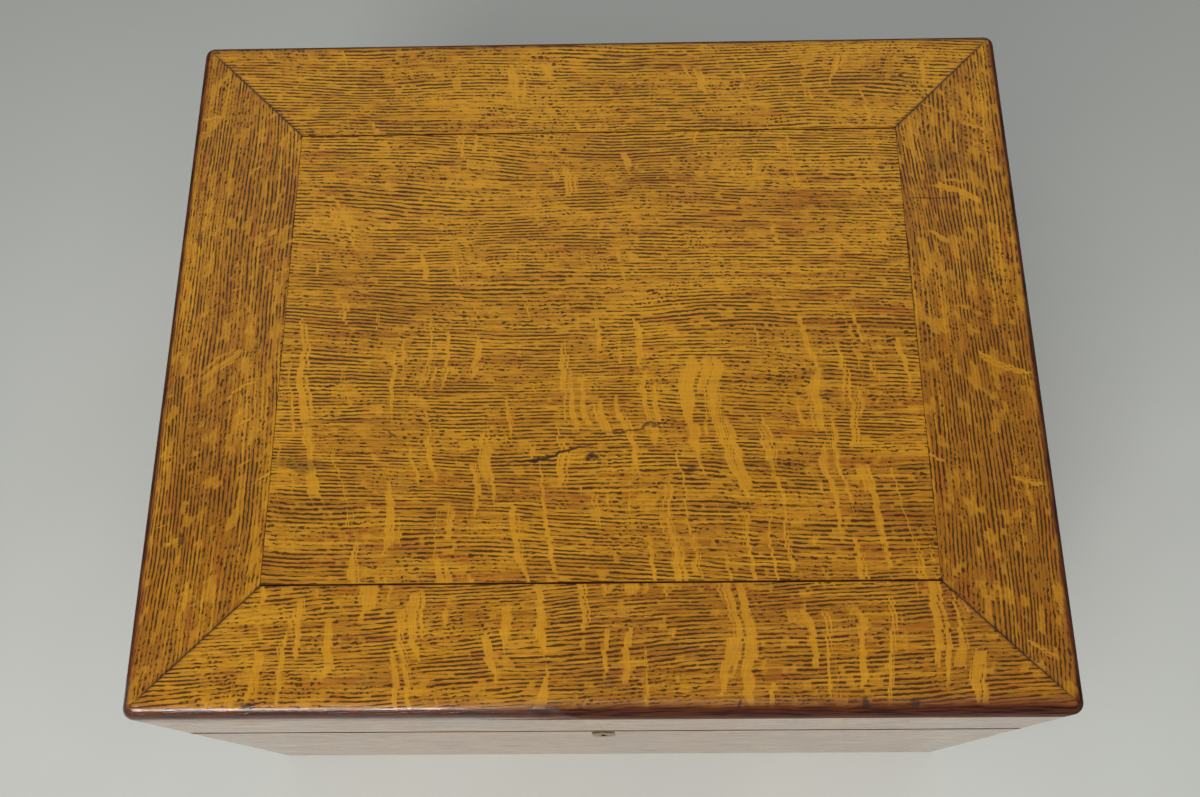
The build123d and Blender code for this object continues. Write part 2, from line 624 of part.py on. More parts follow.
def make_tray():
    """Four thin mitred walls on a rabbeted bottom, with divider, racks and lining."""
    top = TRAY_Z + TRAY_HEIGHT
    outer = RectangleRounded(2 * TRAY_X, 2 * TRAY_Y, TRAY_RADIUS)
    inner = Rectangle(2 * (TRAY_X - TRAY_WALL), 2 * (TRAY_Y - TRAY_WALL))
    frame = prism(outer - inner, TRAY_Z, top)
    in_x, in_y = TRAY_X - TRAY_WALL + TRAY_RABBET, TRAY_Y - TRAY_WALL + TRAY_RABBET
    frame -= block((-in_x, in_x), (-in_y, in_y), (TRAY_Z - CUT_SPARE, TRAY_FLOOR))
    for side, board in mitred_boards(frame, 2 * TRAY_X, 2 * TRAY_Y, 2 * TRAY_WALL).items():
        save("tray_" + side, board)
    in_x, in_y = in_x - GLUE_FIT, in_y - GLUE_FIT
    save("tray_bottom", block((-in_x, in_x), (-in_y, in_y), (TRAY_Z, TRAY_FLOOR)))
    save("tray_divider", divider())
    half_x, half_y = TRAY_X - TRAY_WALL - BAIZE_GAP, TRAY_Y - TRAY_WALL - BAIZE_GAP
    near = DIVIDER_THICKNESS / 2 + BAIZE_GAP
    lining = [block((-half_x, half_x), (s * (near + half_y) / 2 - (half_y - near) / 2,
                                        s * (near + half_y) / 2 + (half_y - near) / 2),
                    (TRAY_FLOOR, TRAY_FLOOR + BAIZE)) for s in (-1, 1)]
    save("tray_lining", *lining)
    length = 2 * (TRAY_X - TRAY_WALL - RACK_END_GAP)
    middle = (DIVIDER_THICKNESS / 2 + TRAY_Y - TRAY_WALL) / 2
    racks = [rack(length, TRAY_RACK_THICKNESS, TRAY_RACK_HEIGHT, TRAY_NOTCH_DEPTH, s * middle,
                  TRAY_FLOOR + BAIZE) for s in (-1, 1)]
    save("tray_racks", *racks)


def handle_plate_outline():
    """Two round lobes joined by a narrower waist."""
    straight = Rectangle(HANDLE_PLATE_LENGTH - HANDLE_PLATE_LOBE, HANDLE_PLATE_WAIST)
    lobes = [Pos(s * (HANDLE_PLATE_LENGTH - HANDLE_PLATE_LOBE) / 2, 0) * Circle(HANDLE_PLATE_LOBE / 2)
             for s in (-1, 1)]
    outline = straight + lobes[0] + lobes[1]
    return outline & Rectangle(HANDLE_PLATE_LENGTH, HANDLE_PLATE_HEIGHT)


def wall_x(side, out):
    """X of a plane that stands out from one end wall."""
    return side * (CHEST_WIDTH / 2 + out)


def handle_plate(side):
    near = min(wall_x(side, 0), wall_x(side, HANDLE_PLATE))
    plate = slab_yz(Pos(0, HANDLE_Z) * handle_plate_outline(), near, near + HANDLE_PLATE)
    for s in (-1, 1):
        plate -= rod((wall_x(side, -CUT_SPARE), s * POST_SPREAD, HANDLE_Z),
                     (wall_x(side, HANDLE_PLATE + CUT_SPARE), s * POST_SPREAD, HANDLE_Z),
                     POST_BOLT_R + POST_BOLT_FIT)
    return plate


NUT_SEAT = BOARD - NUT_RECESS
POST_END = NUT_SEAT + NUT_THICKNESS


def outward(side, y):
    """Place on an end wall whose local Z points out of the chest."""
    return Pos(wall_x(side, 0), y, HANDLE_Z) * Rot(0, 90 * side, 0)


def handle_post(side, y):
    """Turned post with a bored, domed head for the bail and a bolt through the wall."""
    base = HANDLE_PLATE
    eye = base + POST_STAND
    outline = Polygon((0, -POST_END), (POST_BOLT_R, -POST_END), (POST_BOLT_R, base),
                      (POST_COLLAR_R, base), (POST_COLLAR_R, base + POST_COLLAR),
                      (POST_R, base + 2 * POST_COLLAR), (POST_R, eye), (0, eye), align=None)
    post = revolve(Plane.XZ * outline, Axis.Z)
    post += Pos(0, 0, eye) * (Sphere(POST_R) & block((-POST_R, POST_R), (-POST_R, POST_R), (0, POST_R)))
    post -= rod((0, -2 * POST_R, eye), (0, 2 * POST_R, eye), BAIL_R + BAIL_FIT)
    return outward(side, y) * post


def handle_nut(side, y):
    """Hexagonal nut in its recess on the inner face of the wall."""
    nut = RegularPolygon(NUT_ACROSS / 2, 6, major_radius=False) - Circle(POST_BOLT_R + POST_BOLT_FIT)
    return outward(side, y) * prism(nut, -POST_END, -NUT_SEAT)


def handle_wall_cuts(side):
    """Bolt holes through an end wall, and the nut recesses on its inner face."""
    cuts = []
    for s in (-1, 1):
        place = outward(side, s * POST_SPREAD)
        cuts.append(place * prism(Circle(POST_BOLT_R + POST_BOLT_FIT), -BOARD - CUT_SPARE, CUT_SPARE))
        cuts.append(place * prism(Circle(NUT_RECESS_R), -BOARD - CUT_SPARE, -NUT_SEAT))
    return cuts


def bail(side):
    """Round bail bent from rod, its ends turned in through the posts, with a thicker grip."""
    x = wall_x(side, HANDLE_PLATE + POST_STAND)
    leg = POST_SPREAD + POST_R + BAIL_LEG_CLEAR + BAIL_R
    end = leg - BAIL_PIN_LENGTH
    low = HANDLE_Z - BAIL_DROP
    points = [(x, end, HANDLE_Z), (x, leg, HANDLE_Z), (x, leg, low), (x, -leg, low), (x, -leg, HANDLE_Z),
              (x, -end, HANDLE_Z)]
    path = FilletPolyline(*points, radius=[BAIL_SHOULDER, BAIL_CORNER, BAIL_CORNER, BAIL_SHOULDER])
    bar = sweep(Plane(origin=path @ 0, z_dir=path % 0) * Circle(BAIL_R), path=path)
    half = GRIP_LENGTH / 2
    grip = Polygon((0, -half - GRIP_TAPER), (BAIL_R, -half - GRIP_TAPER), (GRIP_R, -half), (GRIP_R, half),
                   (BAIL_R, half + GRIP_TAPER), (0, half + GRIP_TAPER), align=None)
    grip = revolve(Plane.XZ * grip, Axis.Z)
    return bar + Pos(x, 0, low) * Rot(90, 0, 0) * grip


def make_handles():
    for side, name in ((-1, "left"), (1, "right")):
        save("handle_plate_" + name, handle_plate(side))
        save("bail_" + name, bail(side))
    places = [(side, s * POST_SPREAD) for side in (-1, 1) for s in (-1, 1)]
    save("handle_posts", *[handle_post(*place) for place in places])
    save("handle_nuts", *[handle_nut(*place) for place in places])


def bottom_screw_places():
    """Screws up through the edge of the bottom into the walls."""
    inset = BOARD - RABBET / 2
    x, y = CHEST_WIDTH / 2 - inset, CHEST_DEPTH / 2 - inset
    columns = along_line(BOTTOM_SCREW_COUNT_X, 2 * x / BOTTOM_SCREW_COUNT_X)
    rows = along_line(BOTTOM_SCREW_COUNT_Y, 2 * y / BOTTOM_SCREW_COUNT_Y)
    places = [(px, s * y) for px in columns for s in (-1, 1)]
    places += [(s * x, py) for py in rows for s in (-1, 1)]
    return [Pos(px, py, BOTTOM_SCREW_SINK) * UPSIDE_DOWN for px, py in places]


def make_case():
    """Four mitred walls, the bottom in its rabbet, splines and screws."""
    frame = rounded_rim(wall_frame(0, RIM_Z), RIM_Z, RIM_ROUND)
    in_x, in_y = INNER_X + RABBET, INNER_Y + RABBET
    frame -= block((-in_x, in_x), (-in_y, in_y), (-CUT_SPARE, BOTTOM_THICKNESS))
    low, high = BOTTOM_THICKNESS + SPLINE_END, RIM_Z - SPLINE_END
    for groove in wall_splines(low, high, GLUE_FIT):
        frame -= groove
    boards = mitred_boards(frame, CHEST_WIDTH, CHEST_DEPTH, 2 * BOARD)
    save("case_splines", *wall_splines(low, high, 0))

    glued_x, glued_y = in_x - GLUE_FIT, in_y - GLUE_FIT
    bottom = block((-glued_x, glued_x), (-glued_y, glued_y), (0, BOTTOM_THICKNESS))
    for place in bottom_screw_places():
        hole = place * screw_hole(BOTTOM_SCREW_LENGTH)
        bottom -= hole
        for side in SIDES:
            boards[side] -= hole
    save("case_bottom", bottom)
    screws = [place * screw(BOTTOM_SCREW_LENGTH) for place in bottom_screw_places()]
    save("bottom_screws", *screws)

    for mortise in hinge_mortises(0):
        boards["back"] -= mortise
    for place in hinge_screw_places(RIM_Z, Rot(0, 0, 0)):
        boards["back"] -= place * screw_hole()

    front = boards["front"]
    near, fit = -INNER_Y - LOCK_PLATE_DEPTH, LOCK_FIT
    front -= block((-LOCK_HALF, LOCK_HALF), (near, 0), (RIM_Z - LOCK_PLATE, RIM_Z + CUT_SPARE))
    front -= block((-LOCK_HALF, LOCK_HALF), (-INNER_Y - LOCK_PLATE, 0),
                   (RIM_Z - LOCK_PLATE_HEIGHT, RIM_Z))
    front -= block((-LOCK_CAP_HALF - fit, LOCK_CAP_HALF + fit),
                   (-INNER_Y - LOCK_PLATE - LOCK_CAP_DEPTH - fit, 0),
                   (RIM_Z - LOCK_PLATE - LOCK_CAP_HEIGHT - fit, RIM_Z))
    front -= slab_xz(Pos(0, ESCUTCHEON_Z) * escutcheon_outline(GLUE_FIT), CASE_FRONT_Y - CUT_SPARE,
                     CASE_FRONT_Y - ESCUTCHEON_PROUD + ESCUTCHEON_THICKNESS)
    front -= keyhole(CASE_FRONT_Y - CUT_SPARE, -INNER_Y, KEY_Z)
    for hole in escutcheon_pins(SCREW_FIT):
        front -= hole
    for place in plate_screw_places(RIM_Z, Rot(0, 0, 0)) + lock_back_screw_places():
        front -= place * screw_hole()
    boards["front"] = front

    for cut in handle_wall_cuts(-1):
        boards["left"] -= cut
    for cut in handle_wall_cuts(1) + [stay_stud(-1, STUD_FIT)]:
        boards["right"] -= cut
    for place in stay_screw_places(-1):
        boards["right"] -= place * screw_hole()
    for side in SIDES:
        save("case_" + side, boards[side])


def make_bearers():
    """Two strips along front and back walls on which the tray stands."""
    half = TRAY_X - BEARER_SHORT
    z = (BEARER_Z - BEARER_HEIGHT, BEARER_Z)
    save("tray_bearer_front", block((-half, half), (-INNER_Y, -INNER_Y + BEARER_DEPTH), z))
    save("tray_bearer_back", block((-half, half), (INNER_Y - BEARER_DEPTH, INNER_Y), z))


def make_well_fittings():
    """Baize on floor and walls, and the two notched racks."""
    gap = BAIZE_GAP
    x, y = INNER_X - gap, INNER_Y - gap
    save("lining_floor", block((-x, x), (-y, y), (BOTTOM_THICKNESS, WELL_FLOOR)))
    low, under_bearer = WELL_FLOOR + gap, BEARER_Z - BEARER_HEIGHT - gap
    wall_x_half = INNER_X - BAIZE - 2 * gap
    across, up = (-wall_x_half, wall_x_half), (low, under_bearer)
    save("lining_front", block(across, (-INNER_Y, -INNER_Y + BAIZE), up))
    save("lining_back", block(across, (INNER_Y - BAIZE, INNER_Y), up))
    side_top = RIM_Z - SIDE_BAIZE_BELOW_RIM
    save("lining_left", block((-INNER_X, -INNER_X + BAIZE), (-y, y), (low, side_top)))
    save("lining_right", block((INNER_X - BAIZE, INNER_X), (-y, y), (low, side_top)))
    length = 2 * (INNER_X - BAIZE - RACK_END_GAP)
    racks = [rack(length, WELL_RACK_THICKNESS, WELL_RACK_HEIGHT, WELL_NOTCH_DEPTH,
                  s * WELL_RACK_Y, WELL_FLOOR) for s in (-1, 1)]
    save("well_racks", *racks)


def make_lock():
    save("lock_plate", lock_plate())
    save("lock_cap", lock_cap())
    save("lock_pins", *lock_pins())
    save("lock_bolt", lock_bolt())
    save("link_plate", link_plate())
    save("escutcheon", escutcheon())
    save("escutcheon_pins", *escutcheon_pins(0))


def make_hinges():
    for side, name in ((-1, "left"), (1, "right")):
        for own, part, z, turn in ((0, "case", RIM_Z, Rot(0, 0, 0)), (1, "lid", LID_Z, UPSIDE_DOWN)):
            leaf = hinge_leaf(side, own)
            for place in hinge_screw_places(z, turn):
                leaf -= place * screw_hole()
            save("hinge_" + part + "_leaf_" + name, leaf)
    save("hinge_pins", *[hinge_pin(side) for side in (-1, 1)])


def make_stay():
    save("stay_case_plate", stay_plate(-1))
    save("stay_lid_plate", stay_plate(1))
    save("stay_guide_stud", stay_stud(-1, 0))
    save("stay_pivot_stud", stay_stud(1, 0))
    save("stay_arm", stay_arm())


def make_screws():
    """All small brass screws, one group on the case and one on the lid."""
    case = hinge_screw_places(RIM_Z, Rot(0, 0, 0)) + plate_screw_places(RIM_Z, Rot(0, 0, 0))
    case += lock_back_screw_places() + stay_screw_places(-1)
    lid = hinge_screw_places(LID_Z, UPSIDE_DOWN) + plate_screw_places(LID_Z, UPSIDE_DOWN)
    lid += stay_screw_places(1)
    save("case_brass_screws", *[place * screw() for place in case])
    save("lid_brass_screws", *[place * screw() for place in lid])


def panel_half(gap_x, gap_y, reach):
    half_x, half_y = CHEST_WIDTH / 2 - RAIL_WIDTH, CHEST_DEPTH / 2 - RAIL_WIDTH
    return half_x - gap_x + reach, half_y - gap_y + reach


def tongue_z(slack):
    high = CHEST_HEIGHT - TONGUE_DROP + slack
    return (high - TONGUE_THICKNESS - 2 * slack, high)


def make_lid_top():
    """Mitred frame with a rounded edge round a panel tongued into it."""
    board = prism(RectangleRounded(CHEST_WIDTH, CHEST_DEPTH, PLAN_RADIUS), RAIL_Z, CHEST_HEIGHT)
    board = rounded_rim(board, CHEST_HEIGHT, TOP_ROUND)
    x, y = panel_half(0, 0, 0)
    frame = board - block((-x, x), (-y, y), (RAIL_Z - CUT_SPARE, CHEST_HEIGHT + CUT_SPARE))
    x, y = panel_half(0, 0, TONGUE_REACH + GROOVE_SLACK)
    frame -= block((-x, x), (-y, y), tongue_z(TONGUE_FIT))
    splines = rail_splines(0)
    for groove in rail_splines(GLUE_FIT):
        frame -= groove
    for side, rail in mitred_boards(frame, CHEST_WIDTH, CHEST_DEPTH, 2 * RAIL_WIDTH).items():
        save("lid_rail_" + side, rail)

    x, y = panel_half(PANEL_SIDE_GAP, PANEL_GRAIN_GAP, 0)
    panel = block((-x, x), (-y, y), (CHEST_HEIGHT - PANEL_THICKNESS, CHEST_HEIGHT))
    x, y = panel_half(PANEL_SIDE_GAP, PANEL_GRAIN_GAP, TONGUE_REACH)
    panel += block((-x, x), (-y, y), tongue_z(0))
    save("lid_panel", panel)
    return splines


def rail_splines(spare):
    """Flat tongues lying across the mitres of the lid frame."""
    middle = RAIL_SPLINE_START + RAIL_SPLINE_RUN / 2
    step = middle / math.sqrt(2)
    z = CHEST_HEIGHT - RAIL_SPLINE_DROP
    half = RAIL_SPLINE_THICKNESS / 2 + spare
    size = (RAIL_SPLINE_LENGTH + 2 * spare, RAIL_SPLINE_RUN + 2 * spare)
    return [Pos(x * (CHEST_WIDTH / 2 - step), y * (CHEST_DEPTH / 2 - step)) * Rot(0, 0, -45 * x * y)
            * prism(Rectangle(*size), z - half, z + half) for x, y in corner_signs()]


def make_lid():
    splines = make_lid_top()
    frame = rounded_rim(wall_frame(LID_Z, RAIL_Z), LID_Z, LID_EDGE_ROUND)
    low, high = LID_Z + SPLINE_END, RAIL_Z - SPLINE_END
    for groove in wall_splines(low, high, GLUE_FIT):
        frame -= groove
    splines += wall_splines(low, high, 0)
    save("lid_splines", *splines)

    boards = mitred_boards(frame, CHEST_WIDTH, CHEST_DEPTH, 2 * BOARD)
    for mortise in hinge_mortises(1):
        boards["back"] -= mortise
    for place in hinge_screw_places(LID_Z, UPSIDE_DOWN):
        boards["back"] -= place * screw_hole()
    boards["front"] -= block((-LOCK_HALF, LOCK_HALF), (-INNER_Y - LOCK_PLATE_DEPTH, 0),
                             (LID_Z - CUT_SPARE, LID_Z + LOCK_PLATE))
    for place in plate_screw_places(LID_Z, UPSIDE_DOWN):
        boards["front"] -= place * screw_hole()
    boards["right"] -= stay_stud(1, STUD_FIT)
    for place in stay_screw_places(1):
        boards["right"] -= place * screw_hole()
    for side in SIDES:
        save("lid_skirt_" + side, boards[side])

    pad = prism(RectangleRounded(2 * (INNER_X - PAD_GAP), 2 * (INNER_Y - PAD_GAP), PAD_ROUND),
                RAIL_Z - LID_PAD, RAIL_Z)
    save("lid_pad", rounded_rim(pad, RAIL_Z - LID_PAD, PAD_ROUND))


os.makedirs("parts", exist_ok=True)
make_case()
make_bearers()
make_well_fittings()
make_lock()
make_hinges()
make_stay()
make_screws()
make_lid()
make_tray()
make_handles()
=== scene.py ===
import bpy
import math
from mathutils import Matrix, Vector, noise


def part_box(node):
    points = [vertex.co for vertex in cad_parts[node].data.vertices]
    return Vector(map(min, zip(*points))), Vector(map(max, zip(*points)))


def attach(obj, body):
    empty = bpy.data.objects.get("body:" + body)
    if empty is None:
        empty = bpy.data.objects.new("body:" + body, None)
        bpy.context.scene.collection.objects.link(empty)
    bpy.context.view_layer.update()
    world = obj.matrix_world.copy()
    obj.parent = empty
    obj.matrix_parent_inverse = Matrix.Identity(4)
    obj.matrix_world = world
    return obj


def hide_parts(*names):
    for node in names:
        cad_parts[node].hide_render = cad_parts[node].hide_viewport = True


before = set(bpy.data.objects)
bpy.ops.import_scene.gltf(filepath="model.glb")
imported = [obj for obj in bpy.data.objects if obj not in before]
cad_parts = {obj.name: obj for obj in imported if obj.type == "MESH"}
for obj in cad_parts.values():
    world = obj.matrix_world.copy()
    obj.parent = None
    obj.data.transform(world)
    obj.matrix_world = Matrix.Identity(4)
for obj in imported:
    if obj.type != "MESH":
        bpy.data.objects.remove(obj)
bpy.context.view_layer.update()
MM = 0.001

# Sizes read from the frame, in metres
LID_LOW, LID_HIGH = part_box("lid_rail_front")[0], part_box("lid_rail_back")[1]
TOP_Z = LID_HIGH.z
LID_MIDDLE_Y = (LID_LOW.y + LID_HIGH.y) / 2
LID_HALF_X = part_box("lid_rail_right")[1].x
LID_HALF_Y = (LID_HIGH.y - LID_LOW.y) / 2
PANEL_LOW, PANEL_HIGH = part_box("lid_panel")
SEAM_Z = (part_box("case_left")[1].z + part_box("lid_skirt_left")[0].z) / 2


def rgb(r, g, b):
    """Linear colour from a display colour of 0 to 255."""
    shares = (c / 255 for c in (r, g, b))
    linear = (c / 12.92 if c <= 0.04045 else ((c + 0.055) / 1.055) ** 2.4 for c in shares)
    return tuple(linear) + (1.0,)


def dimmed(colour, factor, lift=0.0):
    """A linear colour made darker, or lighter with a factor over one."""
    return tuple(min(1.0, c * factor + lift) for c in colour[:3]) + (1.0,)


class Shader:
    """One node material, written as short calls that return sockets."""

    def __init__(self, name):
        self.material = bpy.data.materials.new(name)
        self.material.use_nodes = True
        self.tree = self.material.node_tree
        self.tree.nodes.clear()
        self.surface = self.tree.nodes.new("ShaderNodeBsdfPrincipled")
        output = self.tree.nodes.new("ShaderNodeOutputMaterial")
        self.tree.links.new(self.surface.outputs[0], output.inputs["Surface"])

    def put(self, socket, value):
        if isinstance(value, bpy.types.NodeSocket):
            self.tree.links.new(value, socket)
        else:
            socket.default_value = value

    def math(self, operation, *values):
        node = self.tree.nodes.new("ShaderNodeMath")
        node.operation = operation
        for socket, value in zip(node.inputs, values):
            self.put(socket, value)
        return node.outputs[0]

    def add(self, a, b):
        return self.math("ADD", a, b)

    def minus(self, a, b):
        return self.math("SUBTRACT", a, b)

    def times(self, a, b):
        return self.math("MULTIPLY", a, b)

    def absolute(self, value):
        return self.math("ABSOLUTE", value)

    def scaled(self, value, factor, start):
        return self.math("MULTIPLY_ADD", value, factor, start)

    def rest(self, share):
        """What a share of 0 to 1 leaves."""
        return self.minus(1.0, share)

    def away(self, value, size):
        """A noise value of 0 to 1 as an offset of up to half of size each way."""
        return self.scaled(value, size, -size / 2)

    def step(self, value, low, high, to_low=0.0, to_high=1.0):
        """A smooth change from to_low to to_high while the value goes from low to high."""
        node = self.tree.nodes.new("ShaderNodeMapRange")
        node.interpolation_type = "SMOOTHSTEP"
        names = ("Value", "From Min", "From Max", "To Min", "To Max")
        for name, setting in zip(names, (value, low, high, to_low, to_high)):
            self.put(node.inputs[name], setting)
        return node.outputs[0]

    def mix(self, amount, a, b):
        """A colour that goes from a to b as amount goes from 0 to 1."""
        node = self.tree.nodes.new("ShaderNodeMix")
        node.data_type = "RGBA"
        self.put(node.inputs[0], amount)
        self.put(node.inputs[6], a)
        self.put(node.inputs[7], b)
        return node.outputs[2]

    def place(self):
        """The rest position of the point in millimetres, as X, Y and Z."""
        coords = self.tree.nodes.new("ShaderNodeTexCoord")
        node = self.tree.nodes.new("ShaderNodeVectorMath")
        node.operation = "SCALE"
        node.inputs["Scale"].default_value = 1 / MM
        self.put(node.inputs[0], coords.outputs["Object"])
        split = self.tree.nodes.new("ShaderNodeSeparateXYZ")
        self.put(split.inputs[0], node.outputs[0])
        return list(split.outputs)

    def vector(self, x, y, z):
        node = self.tree.nodes.new("ShaderNodeCombineXYZ")
        for socket, value in zip(node.inputs, (x, y, z)):
            self.put(socket, value)
        return node.outputs[0]

    def noise(self, point, size, seed, detail, rough=0.5):
        """Noise of 0 to 1 whose grains measure size along the three axes of point."""
        shift = self.tree.nodes.new("ShaderNodeVectorMath")
        shift.operation = "MULTIPLY_ADD"
        self.put(shift.inputs[0], point)
        shift.inputs[1].default_value = tuple(1 / s for s in size)
        shift.inputs[2].default_value = (seed, seed * 1.7, seed * 0.6)
        node = self.tree.nodes.new("ShaderNodeTexNoise")
        node.inputs["Scale"].default_value = 1.0
        node.inputs["Detail"].default_value = detail
        node.inputs["Roughness"].default_value = rough
        self.put(node.inputs["Vector"], shift.outputs[0])
        return node.outputs[0]

    def random(self, number, seed):
        """A value of 0 to 1 that differs from one whole number to the next."""
        node = self.tree.nodes.new("ShaderNodeTexWhiteNoise")
        node.noise_dimensions = "1D"
        self.put(node.inputs["W"], self.add(number, seed))
        return node.outputs[0]

    def bump(self, height, distance, strength, after=None):
        """Relief of a height of 0 to 1 that is distance metres deep, on top of another normal."""
        node = self.tree.nodes.new("ShaderNodeBump")
        node.inputs["Distance"].default_value = distance
        node.inputs["Strength"].default_value = strength
        self.put(node.inputs["Height"], height)
        if after is not None:
            self.put(node.inputs["Normal"], after)
        return node.outputs[0]

    def finish(self, **inputs):
        """Set the surface's inputs, named with underscores for spaces, and return the material."""
        for name, value in inputs.items():
            self.put(self.surface.inputs[name.replace("_", " ")], value)
        return self.material


# Oak
GOLD = rgb(184, 130, 22)
HONEY = rgb(164, 110, 18)
BROWN = rgb(138, 86, 16)
RED_BROWN = rgb(138, 66, 20)
RAY_GOLD = rgb(194, 139, 26)
PALE_OAK = rgb(176, 138, 86)
PORE = rgb(48, 28, 4)
STAIN = rgb(44, 24, 20)
EDGE_RED = rgb(66, 25, 7)
EDGE_DARK = rgb(22, 9, 5)
WORN_RED = rgb(118, 54, 18)
OLD_GREY = rgb(54, 46, 30)
# Metal and cloth
BRASS_LOW = rgb(178, 134, 62)
BRASS_HIGH = rgb(206, 168, 88)
ESCUTCHEON_LOW = rgb(112, 84, 40)
ESCUTCHEON_HIGH = rgb(164, 136, 74)
TARNISH = rgb(92, 66, 34)
STEEL_GREY = rgb(120, 116, 110)
STEEL_BLOOM = rgb(78, 66, 56)
BAIZE_GREEN = rgb(18, 62, 40)
# Wood: lengths are in millimetres, and grains of noise are along, across and through the board
RING_SPACING = 1.9
RING_LEAN = 0.8
RING_WANDER = 18.0
RAY_BEND = 22.0
SHORT_BLOTCH = (9.0, 5.0, 0.6)
LONG_BLOTCH = (13.0, 6.0, 0.56)
PORE_RELIEF = 0.0001
SAG_RELIEF = 0.0009
LACQUER_IOR = 1.5
# Marks on the lid top: place from its middle, half length, half width, turn in degrees, strength
PANEL_MARKS = [
    (-23, -58, 21, 0.9, 14, 0.9), (22, -44, 20, 0.5, 12, 0.7), (28.6, 26, 1.6, 0.9, 0, 0.9),
    (-47, 11, 1.2, 0.9, 0, 0.9), (-3, -60, 3.5, 1.2, 10, 0.8), (43, -65, 4, 1.6, 0, 0.6),
    (-143, -62, 13, 3.2, -8, 0.4), (-100, -47, 4.8, 0.5, -50, 0.6)]
RAIL_MARKS = [
    (171, 78, 13, 0.35, 0, 0.7), (162.2, 152.6, 1.3, 1.0, 0, 0.8),
    (-157.5, -174.6, 3.6, 1.1, 4, 0.85), (62, -175, 0.7, 2.6, -20, 0.8),
    (118, -174.5, 1.6, 2.2, 10, 0.8), (140, -175, 2.2, 2.0, 0, 0.7),
    (-196, -98, 1.6, 2.6, 0, 0.7), (180, 100, 9, 6, 20, 0.3), (-205, 60, 1.2, 4, 0, 0.6)]
MARK_SOFTNESS = 0.35
PANEL_WANDER = 9.0
RAIL_WANDER = 1.5
# Walls: the skin that counts as outside, the worn band below the seam and the painted shadow on
# the seam, each as where it starts to fade and where it ends
OUTER_SKIN = (0.8, 1.6)
SEAM_WEAR = (2.4, 3.4)
SEAM_SHADOW = (0.9, 1.7)
SEAM_WEAR_BELOW = 1.0
COAT_ROUGHNESS = 0.08


